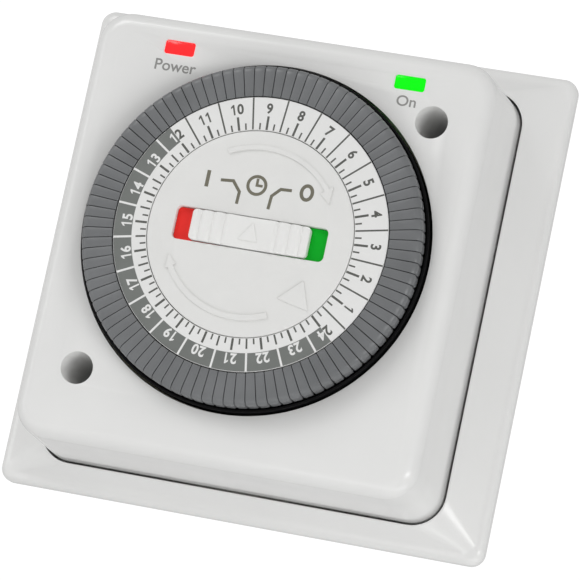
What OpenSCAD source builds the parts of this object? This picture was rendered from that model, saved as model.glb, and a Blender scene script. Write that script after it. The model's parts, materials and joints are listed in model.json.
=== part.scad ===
// Wall-mounted 24-hour time switch: a surface back box, a moulded front cover, a rotating
// dial with one push-in tappet for every quarter of an hour, a three-position override
// slider, two indicator lenses, and the synchronous clock drive and switch behind them.
//
// The part is drawn lying on its back: x to the right, y up the wall and z out of the wall.
// upright() then stands it up, so that in the finished frame the front faces -Y and +Z is up.

/* [Back box] */
// Width of the back box at its flange
box_w = 103; // [101:0.5:106]
// Height of the back box at its flange
box_h = 102; // [101:0.5:106]
// How far the back box stands off the wall
box_depth = 8.6; // [8.4:0.1:8.7]
// Thickness of the back box's floor and walls
box_wall = 2.4; // [2:0.1:2.6]
// Radius of the round cable entry in the floor
cable_r = 8; // [6:0.5:9]
// Distance between the two fixing holes
fixing_pitch = 60.3; // [60:0.1:60.6]

/* [Front cover] */
// Width of the cover at its open back edge
cover_w = 84.8; // [84.6:0.1:85.4]
// Height of the cover at its open back edge
cover_h = 89.8; // [89.6:0.1:90.4]
// Width of the cover's front face
face_w = 82.8; // [82.4:0.1:83.2]
// Height of the cover's front face
face_h = 88; // [87.6:0.1:88.2]
// Height of the front face above the wall
face_z = 35; // [35:0.1:35.3]
// Rounding of the face's edge
face_edge_r = 3.2; // [2.8:0.1:3.4]
// Radius of the two screw holes in the face
screw_hole_r = 3.3; // [3.2:0.1:3.5]

/* [Dial] */
// Radius of the round opening for the dial
dial_hole_r = 35.6; // [35.5:0.1:36]
// Height of the dial's axis above the middle of the back box
dial_up = 1.3; // [1:0.1:1.6]
// Outer radius of the ring of tappets
tappet_out_r = 34.4; // [34:0.1:34.4]
// Inner radius of the ring of tappets
tappet_in_r = 28.1; // [28:0.1:28.3]
// How far a tappet is pushed in to set it
tappet_travel = 2.5; // [1.5:0.1:2.5]
// Outer radius of the printed hour scale
scale_out_r = 27.6; // [27.4:0.1:27.6]
// Inner radius of the printed hour scale
scale_in_r = 21; // [20.9:0.1:21.2]

/* [Override slider] */
// Length of the slider
slider_l = 24.2; // [23.8:0.1:24.6]
// Height of the slider
slider_h = 6.4; // [6:0.1:6.5]
// Travel of the slider to each side
slider_travel = 3.2; // [2.8:0.1:3.2]

/* [Hidden] */
$fn = 96;

white = [0.93, 0.93, 0.92];
dark_grey = [0.42, 0.43, 0.44];
black = [0.06, 0.06, 0.07];
cream = [0.86, 0.84, 0.76];
brass = [0.78, 0.62, 0.30];
steel = [0.72, 0.73, 0.75];

// Levels above the wall
floor_z = box_wall;
flange_z = 3;
insert_z = 3.2;
cover_z = 9;
screw_seat = cover_z + 2;
face_t = 2;
plate_z = 26.5;
plate_t = 2;
plate_top = plate_z + plate_t;
web_z = 31.8;
web_t = 1.6;
head_z = 36.4;
head_top = 39.8;
tail_z = 31.5;
disc_z = 36.9;
disc_top = 39.8;
flag_z = 37.9;
slider_z = 38.8;
slider_top = 40.5;
scale_z = 38.8;
scale_top = 39.7;
rear_z = 8.5;

// Plan sizes of the back box's sloping walls at their foot and at their rim
lip_w = 1.2;
foot_w = box_w - 2 * lip_w;
foot_h = box_h - 2 * lip_w;
wall_run = 2.6;
rim_w = cover_w + 0.4;
rim_h = cover_h + 0.4;
rim_edge_r = 0.3;

// Plan places
fixing = fixing_pitch / 2;
box_corner_r = 3.2;
cover_corner_r = 6.5;
cover_up = -0.6;
sleeve_r = 4.6;
pillar_r = 5;
cover_screw_r = 1.45;
insert_r = 2.4;
small_screw_r = 1.05;
small_bore_r = 1.15;
small_head_r = 2;
cable_up = -35;
plate_w = 78.4;
plate_h = 81;
chassis_bosses = [[-33.5, 33.5], [33.5, -32], [37, 19], [-37, -17]];
motor_at = [-10, 20.4];
motor_ears = [[-26.9, 30.15], [6.9, 10.65]];
rear_pillars = [[-27.5, -21.5], [29, 19.5]];
// Low x, low y, high x and high y of the rooms that join up as the rear cover's footprint
rear_rooms = [[-36, -12, 33.5, 24], [-32, -24.6, 33.5, -7], [-22, -27, 33.5, -7], [-31.2, 20, 23.5, 39.5]];
rear_wall = 1.3;
earth_at = [33, -35];
terminal_pitch = 11;
terminal_xs = [for (k = [0 : 3]) -14.5 + terminal_pitch * k];
terminal_y = -35.4;
lens_w = 6.1;
lens_h = 2.75;
lens_up = 37.3;
lens_xs = [-23.6, 24.3];

// Dial and its gear train
post_r = 9.52;
post_bore_r = 8;
hub_bore_r = 9.6;
ring_teeth = 96;
ring_module = 0.5;
pinion_teeth = 12;
wheel_teeth = 60;
wheel_module = 0.4;
motor_teeth = 10;
arbor_x = -(ring_teeth - pinion_teeth) * ring_module / 2;
arbor_pin_r = 0.9;
running_gap = 0.06;
motor_mesh_angle = 60;
motor_mesh_r = (wheel_teeth + motor_teeth) * wheel_module / 2;
motor_pinion_at = [arbor_x + motor_mesh_r * cos(motor_mesh_angle),
                   dial_up + motor_mesh_r * sin(motor_mesh_angle)];
wheel_z = 24.6;
wheel_t = 1.2;

// Tappets: four to an hour
tappet_pitch = 3.75;
hour_pitch = 15;
hour_nine_angle = 93.1;
tappet_gap = 0.25;
tail_in_r = 29.3;
tail_out_r = 33.5;
tail_w = 1;

// Override selector and follower
selector_up = dial_up - 12;
stem_w = 4;
stem_t = 3;
drive_pin_r = 1.2;
pocket_corner_r = 0.8;
slider_corner_r = 0.9;
follower_y = -20.6;
follower_x = 2;
follower_z = 24.7;
follower_pin_r = 0.75;
nose_x = 21.9;
plunger_x = 10.5;

function tappet_name(hour) = str("tappets_hour_", hour < 10 ? "0" : "", hour);

// Outline of a gear with straight-sided teeth; fill is the share of the pitch that is tooth
function gear_points(teeth, pitch_r, tip_r, root_r, turn = 0, fill = 0.4) =
    [for (tooth = [0 : teeth - 1], corner = [-1.5, -0.5, 0.5, 1.5])
        let (pitch = 360 / teeth,
             at_tip = abs(corner) < 1,
             half = pitch * fill * (at_tip ? 0.25 : 0.75),
             r = at_tip ? tip_r : root_r,
             angle = turn + tooth * pitch + sign(corner) * half)
        [r * cos(angle), r * sin(angle)]];

// Points along a coil about the z axis, and the closed tube swept along them
function coil_point(r, pitch, turn) = [r * cos(360 * turn), r * sin(360 * turn), pitch * turn];
module coil(r, wire_r, pitch, turns) {
    steps = 14;
    sides = 6;
    rings = turns * steps;
    points = [for (i = [0 : rings], s = [0 : sides - 1])
        let (c = coil_point(r, pitch, i / steps), a = 360 * i / steps, b = 360 * s / sides)
        [c[0] + wire_r * cos(b) * cos(a), c[1] + wire_r * cos(b) * sin(a), c[2] + wire_r * sin(b)]];
    skin = [for (i = [0 : rings - 1], s = [0 : sides - 1])
        let (n = (s + 1) % sides)
        [i * sides + s, i * sides + n, (i + 1) * sides + n, (i + 1) * sides + s]];
    first_end = [for (s = [sides - 1 : -1 : 0]) s];
    last_end = [for (s = [0 : sides - 1]) rings * sides + s];
    polyhedron(points, concat(skin, [first_end, last_end]));
}

module upright() {
    rotate([90, 0, 0]) children();
}

module at_dial() {
    translate([0, dial_up, 0]) children();
}

module tube(low, high, out_r, in_r) {
    translate([0, 0, low])
        difference() {
            cylinder(h = high - low, r = out_r);
            translate([0, 0, -1]) cylinder(h = high - low + 2, r = in_r);
        }
}

module disc(low, high, r) {
    translate([0, 0, low]) cylinder(h = high - low, r = r);
}

// A block between two levels, centred on x and y
module block(at, size, low, high) {
    translate([at[0] - size[0] / 2, at[1] - size[1] / 2, low]) cube([size[0], size[1], high - low]);
}

module rounded_plate(w, h, corner_r, low, high) {
    translate([0, 0, low])
        linear_extrude(high - low) {
            square([w - 2 * corner_r, h], center = true);
            square([w, h - 2 * corner_r], center = true);
            for (x = [-1, 1], y = [-1, 1])
                translate([x * (w / 2 - corner_r), y * (h / 2 - corner_r)]) circle(corner_r);
        }
}

// A block whose walls slope from a low rectangle to a high one, [w, h, up, z] each, with the
// high edge rounded
module drafted_block(low, high, corner_r, edge_r) {
    hull() {
        for (x = [-1, 1], y = [-1, 1]) {
            translate([x * (low[0] / 2 - corner_r), low[2] + y * (low[1] / 2 - corner_r), low[3]])
                cylinder(h = 0.02, r = corner_r, $fn = 32);
            translate([x * (high[0] / 2 - corner_r), high[2] + y * (high[1] / 2 - corner_r),
                       high[3] - edge_r])
                rotate_extrude($fn = 32) {
                    square([corner_r - edge_r, edge_r]);
                    translate([corner_r - edge_r, 0])
                        intersection() {
                            circle(edge_r, $fn = 32);
                            square(edge_r);
                        }
                }
        }
    }
}

module fixing_places() {
    for (side = [-1, 1])
        translate([side * fixing, side * fixing, 0]) children();
}

// ---- Housing ----

// Surface back box: a flanged foot, sloping walls, a floor with the cable entry and the wall
// fixing holes, and two pillars that take the cover screws
module back_box() color(white) upright() difference() {
    union() {
        difference() {
            union() {
                rounded_plate(box_w, box_h, box_corner_r, 0, flange_z);
                drafted_block([foot_w, foot_h, 0, flange_z - 0.02],
                              [rim_w, rim_h, cover_up, box_depth], cover_corner_r, rim_edge_r);
            }
            drafted_block([foot_w - 2 * wall_run, foot_h - 2 * wall_run, 0, floor_z],
                          [rim_w - 2 * box_wall, rim_h - 2 * box_wall, cover_up, box_depth + 1],
                          cover_corner_r - 2, rim_edge_r);
        }
        fixing_places() disc(floor_z - 1, cover_z + 0.2, pillar_r);
    }
    translate([0, cable_up, -1]) cylinder(h = floor_z + 2, r = cable_r);
    for (side = [-1, 1])
        translate([side * fixing, 0, -1]) cylinder(h = floor_z + 2, r = 2.25);
    fixing_places() disc(insert_z - 0.2, cover_z + 1, insert_r + 0.02);
}

// Brass inserts pressed into the pillars
module fixing_inserts() color(brass) upright()
    fixing_places() tube(insert_z, cover_z + 0.1, insert_r, cover_screw_r + 0.05);

module earth_terminal() color(brass) upright() difference() {
    block(earth_at, [8, 8], floor_z, floor_z + 7);
    translate([earth_at[0], earth_at[1] - 5, floor_z + 3]) rotate([-90, 0, 0]) cylinder(h = 10, r = 1.8);
    translate([earth_at[0], earth_at[1], floor_z + 2.5]) cylinder(h = 6, r = 1.5);
}

module earth_screw() color(brass) upright() translate([earth_at[0], earth_at[1], 0]) difference() {
    union() {
        disc(floor_z + 5, floor_z + 7.2, 1.44);
        disc(floor_z + 7.2, floor_z + 9, 2.8);
    }
    block([0, 0], [6, 0.7], floor_z + 8.2, floor_z + 10);
}

// Front cover: a drafted shell with the dial opening, the two screw sleeves, the lens windows,
// a skirt that drops into the back box and bosses for the chassis
module front_cover() color(white) upright() difference() {
    union() {
        difference() {
            drafted_block([cover_w, cover_h, cover_up, cover_z], [face_w, face_h, cover_up, face_z],
                          cover_corner_r, face_edge_r);
            drafted_block([cover_w - 4, cover_h - 4, cover_up, cover_z - 0.1],
                          [face_w - 4, face_h - 4, cover_up, face_z - face_t], cover_corner_r - 2, 0.5);
        }
        translate([0, cover_up, 0]) difference() {
            rounded_plate(cover_w - 3.8, cover_h - 3.8, cover_corner_r - 2, cover_z - 2.5, cover_z + 3.5);
            rounded_plate(cover_w - 7.4, cover_h - 7.4, cover_corner_r - 3, cover_z - 3, cover_z + 4);
        }
        fixing_places() disc(cover_z + 0.6, face_z - 1, sleeve_r);
        for (at = chassis_bosses)
            translate([at[0], at[1], 0]) disc(plate_top + 0.02, face_z - 1, 2.3);
    }
    at_dial() translate([0, 0, face_z - 5]) cylinder(h = 8, r = dial_hole_r);
    fixing_places() {
        disc(screw_seat, face_z + 1, screw_hole_r);
        disc(cover_z, screw_seat + 1, cover_screw_r + 0.5);
    }
    for (at = chassis_bosses)
        translate([at[0], at[1], 0]) disc(plate_top - 1, face_z - 2.5, small_bore_r);
    for (x = lens_xs)
        block([x, lens_up], [lens_w + 0.1, lens_h + 0.1], face_z - 4, face_z + 1);
}

// Slotted screws that hold the cover to the back box, deep in their sleeves
module cover_screws() color(steel) upright() fixing_places() difference() {
    union() {
        disc(insert_z + 0.8, screw_seat + 0.02, cover_screw_r);
        disc(screw_seat + 0.02, screw_seat + 2.4, screw_hole_r - 0.3);
    }
    block([0, 0], [8, 0.9], screw_seat + 1.4, screw_seat + 3);
}

module lens(x) {
    block([x, lens_up], [lens_w, lens_h], face_z - 3, face_z + 0.15);
    block([x, lens_up], [lens_w + 1.6, lens_h + 1.4], face_z - 3, face_z - face_t - 0.05);
}

module power_lens() color([0.95, 0.05, 0.05]) upright() lens(lens_xs[0]);

module on_lens() color([0.05, 0.85, 0.15]) upright() lens(lens_xs[1]);

// ---- Lamps ----

module lamp_board() color([0.35, 0.30, 0.12]) upright() {
    block([0, 38.4], [56, 2.6], plate_top + 0.02, plate_top + 0.9);
    for (x = lens_xs)
        block([x, lens_up], [10.8, 4.8], plate_top + 0.02, plate_top + 0.9);
}

// A glass neon capsule under each lens, lying along x
module neon_lamps() color([0.9, 0.8, 0.75]) upright()
    for (x = lens_xs)
        translate([x, lens_up, plate_top + 2.3])
            rotate([0, 90, 0]) cylinder(h = 7, r = 1.1, center = true);

module lamp_resistors() color([0.75, 0.62, 0.42]) upright()
    for (side = [-1, 1])
        translate([side * 8, 38.4, plate_top + 1.8])
            rotate([0, 90, 0]) cylinder(h = 6, r = 0.85, center = true);

// ---- Chassis ----

// Inner plate that carries the dial, the drive and the switch
module chassis_plate() color(cream) upright() difference() {
    union() {
        rounded_plate(plate_w, plate_h, 3, plate_z, plate_top);
        at_dial() {
            disc(plate_z, disc_z, post_r);
            disc(plate_z, plate_top + 0.4, post_r + 2.5);
        }
        for (at = motor_ears)
            translate([at[0], at[1], 0]) disc(22.6, plate_z + 1, 2.4);
        translate([0, selector_up, 0]) disc(24.2, plate_z + 1, 1.5);
        for (y = [follower_y - 3.2, follower_y + 5.5])
            block([follower_x, y], [4, 1], follower_z - 2, plate_z + 1);
    }
    at_dial() disc(plate_z - 1, disc_z + 1, post_bore_r);
    at_dial() translate([arbor_x, 0, 0]) disc(plate_z - 1, plate_top + 1, 4);
    block([nose_x, follower_y], [4.4, 4.4], plate_z - 1, plate_top + 1);
    fixing_places() disc(plate_z - 1, plate_top + 1, sleeve_r + 0.4);
    for (at = chassis_bosses)
        translate([at[0], at[1], 0]) disc(plate_z - 1, plate_top + 1, small_screw_r + 0.3);
    for (at = motor_ears)
        translate([at[0], at[1], 0]) disc(22, plate_z + 0.6, small_bore_r);
    for (at = rear_pillars)
        translate([at[0], at[1], 0]) disc(plate_z - 1, plate_z + 1.6, small_bore_r);
    translate([follower_x, follower_y - 5, follower_z])
        rotate([-90, 0, 0]) cylinder(h = 12, r = follower_pin_r + 0.02);
}

module small_screw(at, seat, length) {
    translate([at[0], at[1], 0]) difference() {
        union() {
            disc(seat - 0.02, seat + length, small_screw_r);
            disc(seat - 1.3, seat - 0.02, small_head_r);
        }
        block([0, 0], [5, 0.6], seat - 2, seat - 0.7);
    }
}

// Six identical tapping screws: four hold the chassis in the cover, two hold the motor
module tapping_screws() color(steel) upright() {
    for (at = chassis_bosses) small_screw(at, plate_z, 5);
    for (at = motor_ears) small_screw(at, 21.5, 5);
}

// Footprint of the rear cover, grown outwards by a margin
module rear_footprint(margin) {
    for (room = rear_rooms)
        translate([room[0] - margin, room[1] - margin])
            square([room[2] - room[0] + 2 * margin, room[3] - room[1] + 2 * margin]);
}

// Rear cover: a tray over the drive and the switch
module rear_cover() color(cream) upright() difference() {
    union() {
        difference() {
            translate([0, 0, rear_z]) linear_extrude(plate_z - rear_z - 0.1) rear_footprint(0);
            translate([0, 0, rear_z + rear_wall]) linear_extrude(plate_z) rear_footprint(-rear_wall);
        }
        for (at = rear_pillars)
            translate([at[0], at[1], 0]) disc(rear_z, plate_z - 0.1, 2.6);
        translate([arbor_x, dial_up, 0]) disc(rear_z, 22.2, 2.5);
        for (x = [8, 21])
            block([x, follower_y], [3, 6], rear_z, 11.9);
    }
    for (at = rear_pillars)
        translate([at[0], at[1], 0]) disc(rear_z - 1, plate_z + 1, small_screw_r + 0.2);
    translate([arbor_x, dial_up, 0]) disc(12, 23, arbor_pin_r + 0.02);
}

// Two long screws that hold the rear cover to the chassis
module rear_cover_screws() color(steel) upright()
    for (at = rear_pillars) small_screw(at, rear_z, 19);

// ---- Clock drive ----

// Synchronous motor and its sealed reduction gear
module drive_motor() color(steel) upright() difference() {
    union() {
        translate([motor_at[0], motor_at[1], 0]) {
            disc(rear_z + 1.4, 22.5, 16.5);
            disc(22.5, 23, 12);
        }
        translate([motor_pinion_at[0], motor_pinion_at[1], 0]) disc(22, 23.6, 3);
        for (at = motor_ears)
            hull() {
                translate([at[0], at[1], 0]) disc(21.52, 22.5, 2.4);
                translate([(at[0] + motor_at[0]) / 2, (at[1] + motor_at[1]) / 2, 0]) disc(21.52, 22.5, 3.5);
            }
    }
    for (at = motor_ears)
        translate([at[0], at[1], 0]) disc(21, 23, small_screw_r + 0.2);
    translate([motor_pinion_at[0], motor_pinion_at[1], 0]) disc(21, 24, 0.8 + running_gap);
}

// Output pinion and shaft of the motor's gearbox
module motor_pinion() color(brass) upright()
    translate([motor_pinion_at[0], motor_pinion_at[1], 0]) {
        pitch_r = motor_teeth * wheel_module / 2;
        disc(21.2, 26.2, 0.8);
        // A gap between two teeth faces the wheel
        translate([0, 0, 23.9])
            linear_extrude(2.3)
                polygon(gear_points(motor_teeth, pitch_r, pitch_r + 0.3, pitch_r - 0.45,
                                    motor_mesh_angle + 180 + 180 / motor_teeth));
    }

// Fixed arbor that the wheel and its pinion turn on
module gear_shaft() color(steel) upright()
    translate([arbor_x, dial_up, 0]) disc(12.2, web_z - 0.2, arbor_pin_r);

module drive_wheel() color([0.85, 0.85, 0.80]) upright() translate([arbor_x, dial_up, 0]) difference() {
    pitch_r = wheel_teeth * wheel_module / 2;
    translate([0, 0, wheel_z])
        linear_extrude(wheel_t)
            polygon(gear_points(wheel_teeth, pitch_r, pitch_r + 0.3, pitch_r - 0.45, motor_mesh_angle));
    disc(wheel_z - 1, wheel_z + 3, 2.05);
}

// Pinion with the shank that the wheel's slip clutch grips
module drive_pinion() color(brass) upright() translate([arbor_x, dial_up, 0]) difference() {
    pitch_r = pinion_teeth * ring_module / 2;
    union() {
        disc(22.4, 23.2, 3.2);
        disc(23, 29.2, 2);
        translate([0, 0, 29.1])
            linear_extrude(2.2)
                polygon(gear_points(pinion_teeth, pitch_r, pitch_r + 0.35, pitch_r - 0.6, 180));
    }
    disc(22, 32, arbor_pin_r + running_gap);
}

// Dished spring washer that presses the wheel against its pinion
module clutch_spring() color(steel) upright()
    translate([arbor_x, dial_up, 0])
        rotate_extrude()
            polygon([[2.1, 23.25], [3.9, 24.35], [3.9, 24.55], [2.1, 23.45]]);

// ---- Dial ----

// Carrier: hub, web, ring gear on its underside, support for the scale, and the slotted rim that
// the tappets slide in
module dial_carrier() color(black) upright() at_dial() {
    slot_in_r = tail_in_r - 0.3;
    slot_out_r = tail_out_r + 0.3;
    tube(29, 36.5, hub_bore_r + 1.8, hub_bore_r);
    tube(web_z, web_z + web_t, slot_in_r, hub_bore_r + 1);
    tube(web_z, scale_z, scale_out_r, scale_out_r - 1.5);
    tube(web_z, web_z + web_t, tappet_out_r + 0.7, slot_out_r);
    tube(web_z, 36.2, tappet_out_r + 0.7, tappet_out_r + 0.3);
    for (hour = [1 : 24])
        rotate(hour_nine_angle + hour_pitch * (hour + 0.5))
            translate([slot_in_r - 0.5, -0.25, web_z])
                cube([slot_out_r - slot_in_r + 1, 0.5, web_t]);
    difference() {
        disc(29, web_z + 0.1, 27.2);
        pitch_r = ring_teeth * ring_module / 2;
        // The ring gear's spaces are an external outline; one of them faces the drive pinion
        translate([0, 0, 28])
            linear_extrude(web_z - 28)
                polygon(gear_points(ring_teeth, pitch_r, pitch_r + 0.6, pitch_r - 0.35, 180, 0.6));
        disc(28, 33, pitch_r - 2);
    }
}

// Printed hour scale
module scale_ring() color([0.92, 0.92, 0.90]) upright() at_dial()
    tube(scale_z + 0.02, scale_top, scale_out_r, scale_in_r);

// A flat-faced wedge with a rounded outer end, and the tail that reaches the follower
module tappet() {
    half = tappet_pitch / 2 - tappet_gap / 2 * 180 / (PI * tappet_out_r);
    round_r = 1.4;
    intersection() {
        linear_extrude(head_top)
            polygon([for (r = [tappet_in_r, tappet_out_r + 1], s = [-1, 1])
                let (side = r == tappet_in_r ? s : -s) [r, side * r * tan(half)]]);
        translate([0, 3, 0])
            rotate([90, 0, 0])
                linear_extrude(6)
                    polygon(concat([[tappet_in_r, head_z], [tappet_out_r, head_z]],
                        [for (a = [0 : 30 : 90])
                            [tappet_out_r + round_r * (cos(a) - 1), head_top + round_r * (sin(a) - 1)]],
                        [[tappet_in_r, head_top]]));
    }
    translate([tail_in_r, -tail_w / 2, tail_z]) cube([tail_out_r - tail_in_r, tail_w, head_z - tail_z + 0.5]);
}

// The four quarter-hour tappets of one hour, pushed in by hand
module tappets_hour(hour) color(dark_grey) upright() at_dial()
    for (quarter = [-1.5 : 1.5])
        rotate(hour_nine_angle + hour_pitch * (hour - 9) + tappet_pitch * quarter) tappet();

// ---- Fixed centre and override slider ----

module centre_disc() color([0.92, 0.92, 0.91]) upright() at_dial() difference() {
    union() {
        disc(disc_z + 0.02, disc_top, scale_in_r - 0.3);
        for (side = [-1, 1]) block([0, side * 6.8], [4, 1.2], 31, disc_z + 1);
    }
    rounded_pocket();
    block([0, 0], [2 * (stem_w / 2 + slider_travel + 0.3), stem_t + 0.8], disc_z - 1, disc_top);
}

module rounded_pocket() {
    rounded_plate(slider_l + 2 * slider_travel + 0.6, slider_h + 0.4, pocket_corner_r, flag_z, disc_top + 1);
}

module flag(side) {
    low_x = stem_w / 2 + slider_travel + 0.4;
    high_x = slider_l / 2 + slider_travel + 0.2;
    translate([side * (low_x + high_x) / 2, 0, 0])
        rounded_plate(high_x - low_x, slider_h + 0.1, pocket_corner_r, flag_z + 0.02, slider_z - 0.15);
}

module red_flag() color([0.9, 0.1, 0.12]) upright() at_dial() flag(-1);

module green_flag() color([0.05, 0.6, 0.25]) upright() at_dial() flag(1);

// Slider with its stem and drive pin, which reaches the selector lever through the post
module override_slider() color([0.93, 0.93, 0.92]) upright() at_dial() {
    rounded_plate(slider_l, slider_h, slider_corner_r, slider_z, slider_top);
    block([0, 0], [stem_w, stem_t], 27, slider_z + 0.1);
    disc(24.2, 27.1, drive_pin_r);
}

// Forked lever that the slider's pin swings about its peg on the chassis
module selector_lever() color([0.75, 0.20, 0.15]) upright() translate([0, selector_up, 0]) difference() {
    union() {
        disc(24.6, 26.1, 3);
        block([0, 7.6], [6.4, 15.2], 24.6, 26.1);
        rotate(-10) block([3, 0], [6, 2.4], 24.6, 26.1);
    }
    disc(24, 27, 1.5 + running_gap);
    block([0, 13], [2 * drive_pin_r + 0.5, 8], 24, 27);
}

// ---- Switch ----

// Follower: its nose stands just under the tappets' path and its beam lies over the switch button
module follower_lever() color([0.20, 0.35, 0.65]) upright() translate([0, follower_y, 0]) difference() {
    union() {
        block([13.2, 0], [22.4, 3.6], 23.9, 25.5);
        block([nose_x, 0], [2.2, 2.2], 25, 28.7);
        translate([follower_x, -1.8, follower_z]) rotate([-90, 0, 0]) cylinder(h = 3.6, r = 1.7);
    }
    translate([follower_x, -3, follower_z])
        rotate([-90, 0, 0]) cylinder(h = 6, r = follower_pin_r + running_gap);
}

module follower_pin() color(steel) upright()
    translate([follower_x, follower_y - 3.7, follower_z])
        rotate([-90, 0, 0]) cylinder(h = 9.7, r = follower_pin_r);

// Return spring wound round the pin
module follower_spring() color(steel) upright()
    translate([follower_x, follower_y + 4.6, follower_z])
        rotate([90, 0, 0]) coil(1.25, 0.18, 0.55, 4);

module switch_case() color([0.10, 0.10, 0.12]) upright() difference() {
    block([14.4, follower_y], [19.8, 6.4], 12, 22);
    block([plunger_x, follower_y], [2.9, 2.4], 19.8, 23);
}

module switch_plunger() color([0.75, 0.20, 0.15]) upright()
    block([plunger_x, follower_y], [2.4, 1.9], 20.6, 23.6);

// ---- Terminals ----

module terminal_block() color(cream) upright() difference() {
    block([2, terminal_y], [44, 12], 13, plate_z - 0.05);
    for (x = terminal_xs) {
        block([x, terminal_y], [6.8, 8.4], 12, 21);
        translate([x, terminal_y - 7, 17]) rotate([-90, 0, 0]) cylinder(h = 5, r = 2.2);
    }
}

module terminal_clamps() color(brass) upright()
    for (x = terminal_xs)
        difference() {
            block([x, terminal_y], [6.4, 8], 13.8, 20.9);
            translate([x, terminal_y - 5, 17]) rotate([-90, 0, 0]) cylinder(h = 10, r = 1.9);
            translate([x, terminal_y, 13]) cylinder(h = 4, r = 1.5);
        }

module terminal_screws() color(steel) upright()
    for (x = terminal_xs)
        translate([x, terminal_y, 0]) difference() {
            union() {
                disc(13.75, 16.5, 1.44);
                disc(11.9, 13.75, 2.2);
            }
            block([0, 0], [6, 0.6], 11, 12.8);
        }

back_box();
earth_terminal();
earth_screw();
fixing_inserts();
front_cover();
cover_screws();
power_lens();
on_lens();
neon_lamps();
lamp_board();
lamp_resistors();
chassis_plate();
tapping_screws();
rear_cover();
rear_cover_screws();
drive_motor();
motor_pinion();
gear_shaft();
drive_wheel();
drive_pinion();
clutch_spring();
dial_carrier();
scale_ring();
centre_disc();
red_flag();
green_flag();
override_slider();
selector_lever();
follower_lever();
follower_pin();
follower_spring();
switch_case();
switch_plunger();
terminal_block();
terminal_clamps();
terminal_screws();
for (hour = [1 : 24])
    tappets_hour(hour);
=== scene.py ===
import json
import math

import bmesh
import bpy
from mathutils import Matrix, Vector


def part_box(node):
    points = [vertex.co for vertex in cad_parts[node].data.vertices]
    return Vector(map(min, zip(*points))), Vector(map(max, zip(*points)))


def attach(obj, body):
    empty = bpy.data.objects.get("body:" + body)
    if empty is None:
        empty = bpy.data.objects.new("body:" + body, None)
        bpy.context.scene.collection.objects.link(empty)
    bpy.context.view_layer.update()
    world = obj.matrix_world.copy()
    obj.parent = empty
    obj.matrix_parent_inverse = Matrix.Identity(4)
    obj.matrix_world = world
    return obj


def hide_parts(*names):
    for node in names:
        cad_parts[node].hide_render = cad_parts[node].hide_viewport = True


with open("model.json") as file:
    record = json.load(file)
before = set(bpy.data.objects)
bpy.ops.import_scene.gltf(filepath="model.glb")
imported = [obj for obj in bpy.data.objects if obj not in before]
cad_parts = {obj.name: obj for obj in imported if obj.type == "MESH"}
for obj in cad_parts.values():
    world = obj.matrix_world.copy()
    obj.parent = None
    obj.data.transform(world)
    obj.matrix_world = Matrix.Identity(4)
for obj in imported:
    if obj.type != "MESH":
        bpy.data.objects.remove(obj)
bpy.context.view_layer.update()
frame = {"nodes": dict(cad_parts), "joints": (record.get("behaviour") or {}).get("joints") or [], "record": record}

# Shapes are worked out flat, in millimetres: x to the right, y up the wall and h out of it.
# place() stands them up in the frame, where the front faces -Y and +Z is up.
MM = 0.001


def place(x, y, h):
    return Vector((x * MM, -h * MM, y * MM))


def flat_box(node):
    """The lowest and highest corners of a node as (x, y, h) in millimetres."""
    low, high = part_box(node)
    return ((low[0] / MM, low[2] / MM, -high[1] / MM), (high[0] / MM, high[2] / MM, -low[1] / MM))


def joint_place(name):
    for joint in frame["joints"]:
        if joint["name"] == name:
            return [value / MM for value in joint["pos_m"]]
    raise ValueError(name)


# ---- Measures taken from the frame ----

# The scale ring and the centre disc are drawn this much wider than their CAD nodes
RING_GROWTH = 0.15
SCREW_HEAD_R = 3.0

DIAL_UP = joint_place("dial_spin")[2]
COVER_LOW, COVER_HIGH = flat_box("front_cover")
COVER_W = COVER_HIGH[0] - COVER_LOW[0]
COVER_H = COVER_HIGH[1] - COVER_LOW[1]
COVER_UP = (COVER_HIGH[1] + COVER_LOW[1]) / 2
FACE = COVER_HIGH[2]
BOX_LOW, BOX_HIGH = flat_box("back_box")
BOX_W = BOX_HIGH[0] - BOX_LOW[0]
BOX_H = BOX_HIGH[1] - BOX_LOW[1]
SCALE_HIGH = flat_box("scale_ring")[1]
SCALE_R = SCALE_HIGH[0] + RING_GROWTH
SCALE_TOP = SCALE_HIGH[2]
DISC_HIGH = flat_box("centre_disc")[1]
DISC_R = DISC_HIGH[0] + RING_GROWTH
DISC_TOP = DISC_HIGH[2]
SLIDER_LOW, SLIDER_HIGH = flat_box("override_slider")
SLIDER_W = SLIDER_HIGH[0] - SLIDER_LOW[0]
SLIDER_H = SLIDER_HIGH[1] - SLIDER_LOW[1]
SCREW_LOW, SCREW_HIGH = flat_box("cover_screws")
# Both screws stand on one diagonal, so each has the same place across and up
SCREW_PLACES = [side * (SCREW_HIGH[0] - SCREW_HEAD_R) for side in (-1, 1)]


# ---- Measures that the frame's boxes don't give ----

# Cover: the level of its pillars' joint, the foot of its walls, and its face
COVER_EDGE = 9.0
COVER_FOOT = COVER_LOW[2] + 0.1
FACE_W = 82.8
FACE_H = 88.4
CORNER_R = 6.5
EDGE_R = 3.2
SKIN = 2.0
DIAL_HOLE_R = 35.6
SCREW_HOLE_R = 3.3
SLEEVE_R = 4.6
SCREW_SEAT = 11.0

# Box: the level of its rim, the dark gap between rim and cover, and its floor
BOX_RIM = 8.6
RIM_GAP = 0.42
FLOOR_T = 2.4

# Lenses: how far the flange behind the face reaches past the window
FLANGE_X = 0.8
FLANGE_Y = 0.7
LENS_CORNER_R = 0.5

# Dial: levels and radii of the tappets' heads, and angles in degrees
HEAD_LOW = 36.4
HEAD_TOP = 39.8
TAPPET_IN = 27.97
TAPPET_OUT = 34.4
TAPPET_PITCH = 3.75
HOUR_PITCH = 15
HOUR_NINE = 93.1
SCALE_IN = 21.0
SCALE_BACK = 38.82

# Centre disc and slider
POCKET_H = 6.8
POCKET_FLOOR = 37.9
TRAVEL = 3.2
RAISED = 0.36
SLIDER_BASE = 38.82

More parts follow.
